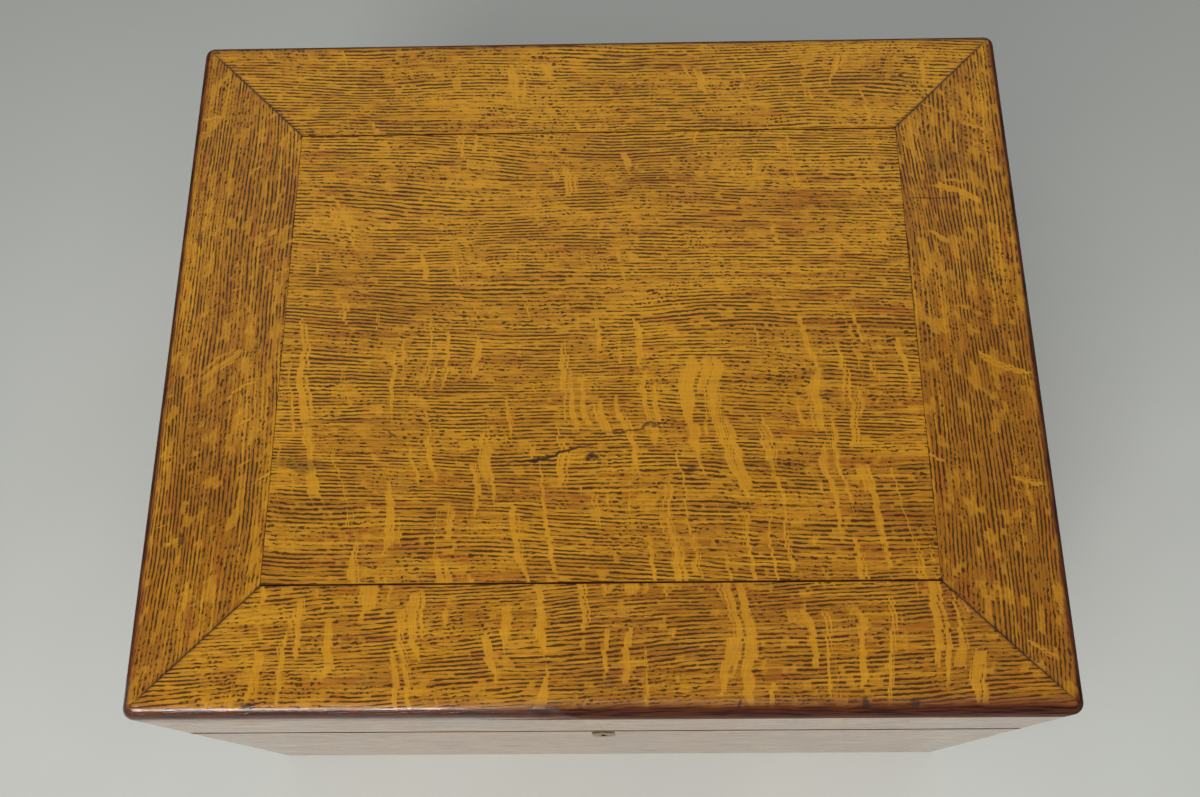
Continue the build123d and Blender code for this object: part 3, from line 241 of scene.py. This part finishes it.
def oak(name, axes, seed, finish, lean=0.0, tilt=0.0, rays=0.5, tone=0.5, blotch=SHORT_BLOTCH,
        dash_length=8.0, depth=0.88):
    """Quarter-sawn oak under old lacquer.

    axes are those along, across and through the board; finish adds to the colour and roughness at
    the end; lean slants the ray flecks and tilt the grain; rays is how many flecks lie across it;
    tone is how light the ground is; blotch is the size of the short flecks along and across the
    grain and the level that they start at; dash_length is that of the dark pore dashes and depth
    how dark they are. rays and tone may be functions of the shader and the place.
    """
    s = Shader(name)
    xyz = s.place()
    along, across, through = (xyz["XYZ".index(a)] for a in axes)
    point = s.vector(along, across, through)

    # growth rings: each has its own number, which sets its line apart from its neighbours
    slow = s.noise(point, (170, 60, 60), seed, 1.0)
    quick = s.noise(point, (26, 9, 20), seed + 3, 1.0)
    shaky = s.noise(point, (2.6, 1.6, 20), seed + 5, 1.0)
    hair_zone = s.step(s.noise(point, (38, 16, 60), seed + 33, 1.0), 0.46, 0.56)
    leaning = s.add(s.add(across, s.times(along, tilt)), s.times(through, RING_LEAN))
    ring = s.add(leaning, s.add(s.away(slow, RING_WANDER), s.away(quick, 2.0)))
    ring = s.add(ring, s.times(s.away(shaky, 1.0), s.scaled(hair_zone, 1.3, 0.8)))
    ring = s.times(ring, 1 / RING_SPACING)
    number = s.math("FLOOR", ring)
    middle = s.absolute(s.minus(s.minus(ring, number), 0.5))
    own = s.random(number, seed)
    patch = s.noise(point, (45, 22, 30), seed + 11, 1.0)
    dash_point = s.vector(along, s.times(number, 7.3), through)
    dash = s.noise(dash_point, (dash_length, 1.0, 9), seed + 7, 2.0)
    width = s.add(s.add(s.away(dash, 0.95), s.away(patch, 0.3)), s.away(own, 0.12))
    width = s.math("MINIMUM", s.add(width, 0.225), 0.25)
    lines = s.step(s.minus(width, middle), -0.05, 0.07)

    # ray flecks: golden patches that lie across the grain; the lines stop at their edges
    bend = s.noise(point, (80, 50, 60), seed + 19, 1.0)
    across_bend = s.add(s.times(across, lean), s.away(bend, RAY_BEND))
    smooth_along = s.add(along, across_bend)
    stepped_along = s.add(smooth_along, s.away(own, 1.5))
    rays, tone = (value(s, xyz) if callable(value) else value for value in (rays, tone))
    ray_point = s.vector(stepped_along, s.times(number, RING_SPACING), through)
    strip = s.noise(ray_point, (6.5, 110, 60), seed + 23, 1.0)
    strip = s.minus(strip, s.scaled(rays, -0.07, 0.62))
    reach = s.noise(ray_point, (14, 26, 60), seed + 29, 1.0)
    reach = s.minus(reach, s.scaled(rays, -0.17, 0.63))
    flecks = s.times(s.step(strip, -0.012, 0.02), s.step(reach, -0.012, 0.02))
    parted = s.step(s.noise(ray_point, (1.2, 60.0, 60), seed + 25, 0.0), 0.36, 0.42, 0.2)
    flecks = s.times(flecks, parted)
    *size, level = blotch
    blotches = s.noise(ray_point, (*size, 60), seed + 27, 2.0)
    blotches = s.step(blotches, level, level + 0.06, 0.0, 0.75)
    flecks = s.math("MAXIMUM", flecks, blotches)
    hair_point = s.vector(s.add(smooth_along, s.away(own, 3.0)), s.times(number, 0.4), through)
    hair_noise = s.noise(hair_point, (1.7, 1.6, 30), seed + 31, 0.0)
    hairs = s.times(s.step(hair_noise, 0.42, 0.54), hair_zone)
    left = s.times(s.rest(s.times(flecks, 0.94)), s.rest(s.times(hairs, 0.62)))
    dark = s.times(lines, left)

    # ground colour: fine streaks along the grain, slow clouds, and red-brown old stain
    streak = s.noise(point, (60, 1.6, 20), seed + 37, 3.0)
    cloud = s.noise(point, (70, 30, 50), seed + 41, 1.0)
    fine = s.noise(point, (13, 0.8, 10), seed + 39, 1.0)
    ground_level = s.add(s.add(streak, s.away(cloud, 0.6)), s.away(fine, 0.5))
    # a tone that changes with place paints light and shade on the wood
    ground_level = s.add(ground_level, s.add(tone, -0.5))
    ground = s.mix(s.step(ground_level, 0.25, 0.6), BROWN, HONEY)
    ground = s.mix(s.step(ground_level, 0.45, 0.85), ground, GOLD)
    red = s.times(s.step(s.noise(point, (34, 5, 30), seed + 43, 3.0), 0.52, 0.72), 0.5)
    ground = s.mix(red, ground, RED_BROWN)
    silk = s.noise(s.vector(smooth_along, across, through), (0.5, 12, 30), seed + 47, 1.0)
    ray_colour = s.mix(s.step(silk, 0.3, 0.7, 0.45), HONEY, RAY_GOLD)
    colour = s.mix(s.times(flecks, 0.6), ground, ray_colour)
    colour = s.mix(s.times(dark, depth), colour, PORE)
    grime = s.step(s.noise(point, (26, 6, 30), seed + 53, 3.0), 0.62, 0.75)
    colour = s.mix(s.times(grime, s.add(s.times(lines, 0.5), 0.15)), colour, STAIN)

    rough = s.add(s.times(s.noise(point, (30, 9, 20), seed + 61, 3.0), 0.16), 0.16)
    colour, rough = finish(s, xyz, point, seed, colour, rough)
    normal = s.bump(s.rest(dark), PORE_RELIEF, 0.4)
    sag = s.noise(point, (38, 22, 30), seed + 59, 2.0)
    normal = s.bump(sag, SAG_RELIEF, 0.5, normal)
    return s.finish(Base_Color=colour, Roughness=rough, Normal=normal, IOR=LACQUER_IOR)


def spot(s, xyz, x, y, half_x, half_y, turn):
    """One inside a leaning oval on the lid top, placed in millimetres from the lid's middle."""
    dx = s.minus(xyz[0], x)
    dy = s.minus(xyz[1], y + LID_MIDDLE_Y / MM)
    c, d = math.cos(math.radians(turn)), math.sin(math.radians(turn))
    u = s.add(s.times(dx, c / half_x), s.times(dy, d / half_x))
    v = s.add(s.times(dx, -d / half_y), s.times(dy, c / half_y))
    far = s.math("SQRT", s.add(s.times(u, u), s.times(v, v)))
    return s.step(far, 1 - MARK_SOFTNESS, 1 + MARK_SOFTNESS, 1.0, 0.0)


def from_sides(s, xyz):
    """How far back from the lid's middle a point is, and how far in from its ends and sides."""
    from_middle = s.minus(xyz[1], LID_MIDDLE_Y / MM)
    x_in = s.minus(LID_HALF_X / MM, s.absolute(xyz[0]))
    return from_middle, x_in, s.minus(LID_HALF_Y / MM, s.absolute(from_middle))


def rail_finish(s, xyz, point, seed, colour, rough):
    """Dark mitre lines, worn red-brown edges with old dirt and painted shade where they turn down,
    and the marks on the rails.
    """
    from_middle, x_in, y_in = from_sides(s, xyz)
    edge = s.math("MINIMUM", x_in, y_in)
    ragged = s.noise(point, (14, 4, 8), seed + 67, 3.0)
    near = s.step(s.add(edge, s.away(ragged, 7.0)), 0.5, 7.0, 1.0, 0.0)
    front_y = -LID_HALF_Y / MM
    front = s.times(s.step(from_middle, front_y + 4, front_y + 11, 1.0, 0.0),
                    s.step(s.add(xyz[0], s.away(ragged, 90.0)), -90, 10))
    # the rounded edge as it turns down from the top: old dirt on the worn edge, and painted shade
    level = s.minus(s.add(xyz[2], s.away(ragged, 1.2)), TOP_Z / MM)
    below = s.times(s.step(level, -1.8, -0.3, 1.0, 0.0), s.step(level, -14.0, -9.5, 0.25))
    streak = s.step(s.noise(point, (16, 1.1, 1.1), seed + 71, 2.0), 0.45, 0.62)
    colour = s.mix(s.times(near, 0.6), colour, RED_BROWN)
    wide = s.step(s.add(edge, s.away(ragged, 7.0)), 3.0, 11.0, 1.0, 0.0)
    colour = s.mix(s.times(s.times(wide, front), 0.65), colour, EDGE_RED)
    # darker red-brown with dark streaks on that rounding: part old dirt, part painted shade
    colour = s.mix(s.times(below, 0.9), colour, EDGE_RED)
    colour = s.mix(s.times(s.times(below, streak), 0.85), colour, EDGE_DARK)
    mitre = s.absolute(s.add(s.minus(x_in, y_in), s.away(ragged, 0.5)))
    outer = s.step(edge, 2.0, 20.0, 0.3)
    colour = s.mix(s.times(s.step(mitre, 0.5, 2.6, 0.35, 0.0), outer), colour, STAIN)
    colour = s.mix(s.times(s.step(mitre, 0.28, 0.62, 0.85, 0.0), outer), colour, STAIN)
    colour = marked(s, xyz, colour, RAIL_MARKS, RAIL_WANDER)
    # the lacquer is rubbed dull along the edge, and still bright at the left of the front
    bright = s.times(s.step(s.add(xyz[0], s.away(ragged, 90.0)), -60, -10, 1.0, 0.0),
                     s.step(from_middle, front_y + 12, front_y + 20, 1.0, 0.0))
    edge_rough = s.add(s.scaled(bright, -0.46, 0.6), s.times(streak, 0.14))
    worn = s.step(s.add(edge, s.away(ragged, 2.0)), 3.0, 8.0, 1.0, 0.0)
    bare = s.times(worn, s.rest(bright))
    s.finish(Specular_IOR_Level=s.scaled(bare, -0.36, 0.5))
    mixed = s.add(s.times(edge_rough, worn), s.times(rough, s.rest(worn)))
    return colour, mixed


def marked(s, xyz, colour, marks, wander_size):
    """Short dark shakes, dents and blue-black stains on the lid top."""
    wander = s.noise(s.vector(*xyz), (9, 9, 9), 1.0, 2.0)
    bent = [xyz[0], s.add(xyz[1], s.away(wander, wander_size)), xyz[2]]
    for x, y, half_x, half_y, turn, strength in marks:
        colour = s.mix(s.times(spot(s, bent, x, y, half_x, half_y, turn), strength), colour, STAIN)
    return colour


def panel_rays(s, xyz):
    """Many flecks towards the front of the panel and few towards the back."""
    low, high = PANEL_LOW.y / MM, PANEL_HIGH.y / MM
    return s.step(xyz[1], low + 90, high - 70, 1.0, 0.1)


def painted_light_tone(front, back, right=0.0):
    """Painted light and shade: tone from front to back, and what the right end has over the left.
    """
    def tone(s, xyz):
        across = s.step(xyz[0], PANEL_LOW.x / MM, PANEL_HIGH.x / MM, 0.0, right)
        return s.add(s.step(xyz[1], PANEL_LOW.y / MM, PANEL_HIGH.y / MM, front, back), across)
    return tone


def wall_finish(s, xyz, point, seed, colour, rough):
    """Old coat outside with grey-brown streaks, worn bare along the seam; satin varnish inside."""
    _, x_in, y_in = from_sides(s, xyz)
    outside = s.step(s.math("MINIMUM", x_in, y_in), *OUTER_SKIN, 1.0, 0.0)
    dirt = s.noise(point, (60, 5, 8), seed + 83, 3.0)
    grey = s.add(s.times(s.step(dirt, 0.45, 0.75), 0.4), 0.16)
    colour = s.mix(s.times(grey, outside), colour, OLD_GREY)
    above = s.minus(xyz[2], SEAM_Z / MM)
    frayed = s.noise(point, (22, 4, 4), seed + 79, 2.0)
    from_wear = s.absolute(s.add(above, s.add(s.away(frayed, 2.4), SEAM_WEAR_BELOW)))
    worn = s.times(s.step(from_wear, *SEAM_WEAR, 1.0, 0.0), outside)
    haze = s.step(s.noise(point, (30, 1.2, 8), seed + 87, 3.0), 0.3, 0.75, 0.88, 0.4)
    smudge = s.step(s.noise(point, (26, 9, 30), seed + 89, 2.0), 0.6, 0.72, 1.0, 0.6)
    coat = s.times(s.times(haze, smudge), s.rest(worn))
    s.finish(Coat_Weight=s.times(coat, outside), Coat_Roughness=COAT_ROUGHNESS,
             Specular_IOR_Level=s.scaled(worn, -0.46, 0.5))
    dull = s.noise(point, (22, 1.0, 8), seed + 91, 3.0)
    rough = s.add(rough, s.step(dull, 0.42, 0.7, 0.0, 0.4))
    inside_rough = s.scaled(outside, -0.2, 0.2)
    rough = s.math("MAXIMUM", s.add(rough, inside_rough), s.times(worn, 0.75))
    # painted shadow: a dark line along the seam between lid and case
    dark = s.times(s.step(s.absolute(above), *SEAM_SHADOW, 0.8, 0.0), outside)
    charred = s.step(s.noise(point, (22, 3, 9), seed + 85, 2.0), 0.48, 0.56)
    bare = s.mix(charred, WORN_RED, EDGE_DARK)
    return s.mix(dark, s.mix(worn, colour, bare), EDGE_DARK), rough


def panel_finish(s, xyz, point, seed, colour, rough):
    """The shakes, dents and stains on the panel."""
    return marked(s, xyz, colour, PANEL_MARKS, PANEL_WANDER), rough


def satin_finish(s, xyz, point, seed, colour, rough):
    """Paler and duller wood that the light hasn't reached."""
    return s.mix(0.35, colour, PALE_OAK), s.add(rough, 0.28)


def brass(name, dull, low=BRASS_LOW, high=BRASS_HIGH):
    """Old brass: clouded between two colours, with brown tarnish as strong as dull says."""
    s = Shader(name)
    point = s.vector(*s.place())
    cloud = s.noise(point, (9, 9, 9), 2.0, 3.0)
    fine = s.noise(point, (1.2, 1.2, 1.2), 5.0, 3.0)
    colour = s.mix(s.step(cloud, 0.35, 0.7), low, high)
    tarnish = s.step(s.add(cloud, s.away(fine, 0.4)), 0.5, 0.75)
    colour = s.mix(s.times(tarnish, dull), colour, TARNISH)
    rough = s.step(cloud, 0.2, 0.8, 0.22, 0.42)
    normal = s.bump(fine, 0.00006, 0.5)
    return s.finish(Base_Color=colour, Roughness=rough, Metallic=1.0, Normal=normal)


def steel(name):
    """Dull steel with brown bloom."""
    s = Shader(name)
    point = s.vector(*s.place())
    cloud = s.noise(point, (4, 4, 4), 1.0, 4.0)
    colour = s.mix(s.step(cloud, 0.4, 0.7), STEEL_GREY, STEEL_BLOOM)
    return s.finish(Base_Color=colour, Roughness=s.step(cloud, 0.2, 0.8, 0.3, 0.6), Metallic=1.0,
                    Normal=s.bump(cloud, 0.0001, 0.4))


def baize(name):
    """Napped wool cloth: soft mottling, short fibres and a dusty sheen."""
    s = Shader(name)
    point = s.vector(*s.place())
    fibre = s.noise(point, (0.35, 0.35, 0.35), 1.0, 3.0, 0.7)
    mottle = s.noise(point, (7, 7, 7), 4.0, 3.0)
    wear = s.noise(point, (60, 45, 60), 9.0, 2.0)
    light = dimmed(BAIZE_GREEN, 1.9, 0.008)
    tone = s.mix(s.step(fibre, 0.3, 0.7), dimmed(BAIZE_GREEN, 0.55), BAIZE_GREEN)
    tone = s.mix(s.times(s.step(mottle, 0.4, 0.75), 0.4), tone, light)
    tone = s.mix(s.times(s.step(wear, 0.5, 0.75), 0.35), tone, light)
    normal = s.bump(fibre, 0.0003, 0.6)
    return s.finish(Base_Color=tone, Roughness=0.95, Normal=normal, Sheen_Weight=0.25,
                    Sheen_Roughness=0.5)


def give(material, *names):
    """Put one material on whole CAD nodes."""
    for name in names:
        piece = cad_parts[name]
        piece.data.materials.clear()
        piece.data.materials.append(material)


def dress_wood():
    """Lid rails and panel, the walls, and the paler boards inside."""
    flat = {"front": "XYZ", "back": "XYZ", "left": "YXZ", "right": "YXZ"}
    upright = {"front": "XZY", "back": "XZY", "left": "YZX", "right": "YZX"}
    # tones that change with place are painted light and shade: lighter to the back, darker to the
    # right
    rails = {
        "front": dict(rays=0.85, tone=painted_light_tone(0.56, 0.56, -0.16), tilt=-0.05),
        "back": dict(rays=0.3, tone=0.68, lean=0.1, tilt=0.02, dash_length=9.0),
        "left": dict(rays=0.1, tone=painted_light_tone(0.42, 0.54), lean=-0.5, dash_length=5.0,
                     blotch=LONG_BLOTCH),
        "right": dict(rays=0.05, tone=painted_light_tone(0.22, 0.44), lean=0.4, dash_length=4.5,
                      blotch=LONG_BLOTCH)}
    for i, (side, figure) in enumerate(rails.items()):
        wood = oak("oak_rail_" + side, flat[side], 3.0 + 7 * i, rail_finish, **figure)
        give(wood, "lid_rail_" + side)
        for part, node, seed in (("skirt", "lid_skirt_", 41.0), ("wall", "case_", 47.0)):
            name = "oak_" + part + "_" + side
            wood = oak(name, upright[side], seed + 5 * i, wall_finish, 0.1, 0.01, 0.35, 0.46)
            give(wood, node + side)
    # the panel's tone is painted light and shade: lighter to the back, a little darker to the
    # right
    tone = painted_light_tone(0.54, 0.72, -0.06)
    give(oak("oak_panel", "XYZ", 71.0, panel_finish, 0.12, 0.03, panel_rays, tone), "lid_panel")
    inner = {
        "oak_flat": ("XYZ", "case_bottom", "tray_bottom", "case_splines", "lid_splines"),
        "oak_long": ("XZY", "tray_front", "tray_back", "tray_divider", "tray_bearer_front",
                     "tray_bearer_back"),
        "oak_short": ("YZX", "tray_left", "tray_right")}
    for i, (name, (axes, *nodes)) in enumerate(inner.items()):
        give(oak(name, axes, 91.0 + 3 * i, satin_finish, 0.0, 0.01, 0.1, 0.6, depth=0.5), *nodes)


def dress_metal():
    """Brass fittings, the browner escutcheon, and steel for what is out of sight."""
    old = brass("brass_old", 0.6)
    fittings = ("hinge_", "stay_", "bail_", "handle_plate_", "handle_posts")
    give(old, *[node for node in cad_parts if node.startswith(fittings)])
    give(old, "lock_plate", "link_plate", "lock_bolt", "case_brass_screws", "lid_brass_screws")
    browner = brass("brass_escutcheon", 0.8, ESCUTCHEON_LOW, ESCUTCHEON_HIGH)
    give(browner, "escutcheon", "escutcheon_pins")
    give(steel("steel_dull"), "bottom_screws", "lock_cap", "lock_pins", "handle_nuts")


# Cloth and padding, in metres: lines of the grids near an edge and the step between the others,
# the width of the pad's rolled edge, its corner radius, and how far its back is set in; then how
# many hollows there are in a metre
FELT_EDGE = (0.0, 0.0004, 0.0012, 0.0028)
GRID_STEP = 0.007
PAD_EDGE = (0.0, 0.0004, 0.001, 0.002, 0.0035, 0.0055, 0.008, 0.012)
PAD_ROLL = 0.008
PAD_CORNER = 0.006
PAD_INSET = 0.0008
FELT_WAVES = 26
PAD_WAVES = 16
AXES = "xyz"


def grid_lines(low, high, edge, step):
    """Places of the lines of a grid: close together at both ends, then even."""
    inner = high - low - 2 * edge[-1]
    count = max(1, round(inner / step))
    middle = [low + edge[-1] + inner * i / count for i in range(count + 1)]
    return [low + e for e in edge[:-1]] + middle + [high - e for e in reversed(edge[:-1])]


def closed_sheet(us, vs, back, front):
    """Points and faces of a closed thin form; back and front give a point for u, v."""
    n, m = len(us), len(vs)
    points = [side(u, v) for side in (back, front) for v in vs for u in us]
    faces = []
    for j in range(m - 1):
        for i in range(n - 1):
            a = j * n + i
            faces.append((a, a + n, a + n + 1, a + 1))
            a += n * m
            faces.append((a, a + 1, a + n + 1, a + n))
    rim = [(i, 0) for i in range(n)] + [(n - 1, j) for j in range(1, m)]
    rim += [(i, m - 1) for i in range(n - 2, -1, -1)] + [(0, j) for j in range(m - 2, 0, -1)]
    ring = [j * n + i for i, j in rim]
    for a, b in zip(ring, ring[1:] + ring[:1]):
        faces.append((a, b, b + n * m, a + n * m))
    return points, faces


def turned(faces):
    """The same faces seen from the other side."""
    return [tuple(reversed(face)) for face in faces]


def soft_piece(name, points, faces, material, body, node):
    """A smooth cloth piece that rides a body in the place of a CAD node."""
    mesh = bpy.data.meshes.new(name)
    mesh.from_pydata(points, [], faces)
    mesh.polygons.foreach_set("use_smooth", [True] * len(faces))
    mesh.materials.append(material)
    piece = bpy.data.objects.new(name, mesh)
    bpy.context.scene.collection.objects.link(piece)
    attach(piece, body)
    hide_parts(node)
    return piece


def felt(name, box, normal, material, body, node):
    """A glued sheet of baize that fills a box; normal is the way it faces, such as +z."""
    low, high = box
    thin = AXES.index(normal[1])
    u_axis, v_axis = [a for a in range(3) if a != thin]
    faces_up = normal[0] == "+"
    wood, open_side = (low[thin], high[thin]) if faces_up else (high[thin], low[thin])
    rise = open_side - wood
    us = grid_lines(low[u_axis], high[u_axis], FELT_EDGE, GRID_STEP)
    vs = grid_lines(low[v_axis], high[v_axis], FELT_EDGE, GRID_STEP)

    def point(u, v, depth):
        place = [0.0, 0.0, 0.0]
        place[u_axis], place[v_axis], place[thin] = u, v, wood + depth
        return tuple(place)

    def nap(u, v):
        gap = min(u - us[0], us[-1] - u, v - vs[0], vs[-1] - v)
        edge = min(1.0, gap / FELT_EDGE[-1])
        place = (u * FELT_WAVES + thin * 5.1, v * FELT_WAVES, 0.7)
        wave = noise.noise(place) * 0.5 + 0.5
        return rise * (0.45 + 0.35 * edge * (2 - edge) + 0.2 * edge * wave)

    points, faces = closed_sheet(us, vs, lambda u, v: point(u, v, 0.0),
                                 lambda u, v: point(u, v, nap(u, v)))
    left_handed = (u_axis, v_axis) == (0, 2)
    if left_handed == faces_up:
        faces = turned(faces)
    piece = soft_piece(name, points, faces, material, body, node)


def lid_cushion(material):
    """Thin stuffed pad under the lid top: rolled edge, nearly flat middle with soft hollows."""
    low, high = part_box("lid_pad")
    middle = (low + high) / 2
    half = (high - low) / 2
    us = grid_lines(-half.x, half.x, PAD_EDGE, GRID_STEP)
    vs = grid_lines(-half.y, half.y, PAD_EDGE, GRID_STEP)

    def outline(u, v):
        """Turn the grid's square corner into a round one."""
        over_u, over_v = abs(u) - (half.x - PAD_CORNER), abs(v) - (half.y - PAD_CORNER)
        if over_u > 0 and over_v > 0:
            shrink = max(over_u, over_v) / math.hypot(over_u, over_v)
            u = math.copysign(half.x - PAD_CORNER + over_u * shrink, u)
            v = math.copysign(half.y - PAD_CORNER + over_v * shrink, v)
        return u, v

    def back(u, v):
        x, y = outline(u, v)
        shrunk = x * (1 - PAD_INSET / half.x), y * (1 - PAD_INSET / half.y)
        return middle.x + shrunk[0], middle.y + shrunk[1], high.z

    def front(u, v):
        gap = min(1.0, min(half.x - abs(u), half.y - abs(v)) / PAD_ROLL)
        roll = math.sqrt(1 - (1 - gap) ** 2)
        soft = noise.noise((u * PAD_WAVES, v * PAD_WAVES, 3.1)) * 0.5 + 0.5
        x, y = outline(u, v)
        drop = (high.z - low.z) * (0.3 + roll * (0.62 - 0.16 * soft * gap))
        return middle.x + x, middle.y + y, high.z - drop

    points, faces = closed_sheet(us, vs, back, front)
    piece = soft_piece("lid_cushion", points, turned(faces), material, "lid", "lid_pad")


def dress_cloth():
    """Baize in the well, the two halves of the tray and the lid."""
    cloth = baize("baize_green")
    give(cloth, "well_racks", "tray_racks")
    well = (("floor", "+z", "laid", "case_bottom"), ("front", "+y", "stretched", "case_front"),
            ("back", "-y", "stretched", "case_back"), ("left", "+x", "stretched", "case_left"),
            ("right", "-x", "stretched", "case_right"))
    for side, normal, held, board in well:
        node = "lining_" + side
        felt("felt_" + side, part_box(node), normal, cloth, "case", node)
    low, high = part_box("tray_lining")
    board_low, board_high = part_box("tray_divider")
    gap = board_low.x - low.x
    near, far = board_low.y + gap, board_high.y - gap
    for side, start, end in (("front", low.y, near), ("back", far, high.y)):
        box = Vector((low.x, start, low.z)), Vector((high.x, end, high.z))
        felt("felt_tray_" + side, box, "+z", cloth, "tray", "tray_lining")
    lid_cushion(cloth)


# Floor: side in metres, colour at its palest, and the painted shade that darkens it away from the
# front of the chest
FLOOR_SIZE = 14.0
FLOOR_PALE = rgb(190, 192, 187)
FLOOR_CLOUD = 0.95
FLOOR_PAINTED_SHADE = 0.6
SHADE_START, SHADE_END = 120, 950
SHADE_FRONT = 250.0
SHADE_SIDEWAYS = 0.85


def make_floor():
    """Plain pale floor with painted shade that darkens it away from the front of the chest."""
    half = FLOOR_SIZE / 2
    corners = [(-half, -half, 0), (half, -half, 0), (half, half, 0), (-half, half, 0)]
    mesh = bpy.data.meshes.new("floor")
    mesh.from_pydata(corners, [], [(0, 1, 2, 3)])
    floor = bpy.data.objects.new("floor", mesh)
    bpy.context.scene.collection.objects.link(floor)
    s = Shader("floor_cloth")
    xyz = s.place()
    cloud = s.noise(s.vector(*xyz), (160, 160, 160), 1.0, 3.0)
    colour = s.mix(s.step(cloud, 0.3, 0.7), dimmed(FLOOR_PALE, FLOOR_CLOUD), FLOOR_PALE)
    # painted shade: darker with distance from the front of the chest, where the light falls off
    away_x, away_y = s.times(xyz[0], SHADE_SIDEWAYS), s.add(xyz[1], SHADE_FRONT)
    far = s.math("SQRT", s.add(s.times(away_x, away_x), s.times(away_y, away_y)))
    shade = s.step(far, SHADE_START, SHADE_END)
    colour = s.mix(shade, colour, dimmed(FLOOR_PALE, FLOOR_PAINTED_SHADE))
    floor.data.materials.append(s.finish(Base_Color=colour, Roughness=0.9))


def area_lamp(name, place, aim, size, power, colour, in_gloss=True):
    """A rectangular lamp turned to its aim, which glossy surfaces may mirror or not."""
    lamp = bpy.data.lights.new(name, "AREA")
    lamp.shape = "RECTANGLE"
    lamp.size, lamp.size_y = size
    lamp.energy = power
    lamp.color = colour
    holder = bpy.data.objects.new(name, lamp)
    bpy.context.scene.collection.objects.link(holder)
    holder.location = place
    holder.rotation_mode = "QUATERNION"
    holder.rotation_quaternion = (Vector(aim) - Vector(place)).to_track_quat("-Z", "Y")
    holder.visible_glossy = in_gloss


# Light: the room's strength, what the camera sees of it, and what glossy surfaces see of it
WORLD_COLOUR = (0.94, 0.97, 1.0, 1)
WORLD_STRENGTH = 0.45
BACKDROP_STRENGTH = 0.15
SKY_RAMP = {"From Min": 0.25, "From Max": 0.7, "To Min": 0.55, "To Max": 0.1}
# Lamps: name, place, aim, size, watts, colour, whether glossy surfaces mirror it
LAMPS = [
    ("overhead", (-0.05, -1.0, 2.5), (0, 0, 0.2), (3.0, 1.4), 37, (1.0, 0.985, 0.96), False),
    ("behind", (-0.2, 1.15, 1.9), (0, 0, 0.27), (2.2, 1.0), 1.6, (0.92, 0.96, 1.0)),
    ("window", (-0.75, -1.9, 1.4), (-0.1, -0.1, 0.2), (1.1, 0.45), 28, (1.0, 0.97, 0.94))]


def make_light():
    """The room's own light and the lamps."""
    world = bpy.data.worlds.new("studio")
    world.use_nodes = True
    background = world.node_tree.nodes["Background"]
    background.inputs["Color"].default_value = WORLD_COLOUR
    tree = world.node_tree
    # what glossy surfaces reflect: a dim sky overhead, brighter walls round about
    path = tree.nodes.new("ShaderNodeLightPath")
    coords = tree.nodes.new("ShaderNodeTexCoord")
    split = tree.nodes.new("ShaderNodeSeparateXYZ")
    tree.links.new(coords.outputs["Generated"], split.inputs[0])
    sky = tree.nodes.new("ShaderNodeMapRange")
    tree.links.new(split.outputs["Z"], sky.inputs["Value"])
    for key, value in SKY_RAMP.items():
        sky.inputs[key].default_value = value
    choose = tree.nodes.new("ShaderNodeMix")
    tree.links.new(path.outputs["Is Glossy Ray"], choose.inputs["Factor"])
    choose.inputs["A"].default_value = WORLD_STRENGTH
    tree.links.new(sky.outputs[0], choose.inputs["B"])
    seen = tree.nodes.new("ShaderNodeMix")
    tree.links.new(path.outputs["Is Camera Ray"], seen.inputs["Factor"])
    tree.links.new(choose.outputs[0], seen.inputs["A"])
    seen.inputs["B"].default_value = BACKDROP_STRENGTH
    tree.links.new(seen.outputs[0], background.inputs["Strength"])
    bpy.context.scene.world = world
    for lamp in LAMPS:
        area_lamp(*lamp)


# Camera fitted to the photograph: focal length in pixels of a frame 1200 wide, place in metres
# from the middle of the lid top, and the directions of the picture's right and down
FOCAL_PIXELS = 1194.8
FRAME_PIXELS = 1200
CAMERA_FROM_LID = Vector((0.01088, -0.22755, 0.54582))
PICTURE_RIGHT = Vector((0.999793, -0.004014, -0.019956))
PICTURE_DOWN = Vector((-0.010568, -0.940242, -0.340342))


def make_camera():
    """The photograph's camera."""
    data = bpy.data.cameras.new("camera")
    data.sensor_width = 36.0
    data.lens = data.sensor_width * FOCAL_PIXELS / FRAME_PIXELS
    data.clip_start = 0.01
    camera = bpy.data.objects.new("camera", data)
    bpy.context.scene.collection.objects.link(camera)
    right = PICTURE_RIGHT.normalized()
    back = right.cross(-PICTURE_DOWN).normalized()
    up = back.cross(right)
    turn = Matrix((right, up, back)).transposed()
    place = Vector((0, LID_MIDDLE_Y, TOP_Z)) + CAMERA_FROM_LID
    camera.matrix_world = Matrix.Translation(place) @ turn.to_4x4()
    bpy.context.scene.camera = camera


dress_wood()
dress_metal()
dress_cloth()
make_floor()
make_light()
make_camera()
bpy.context.scene.view_settings.view_transform = "Standard"
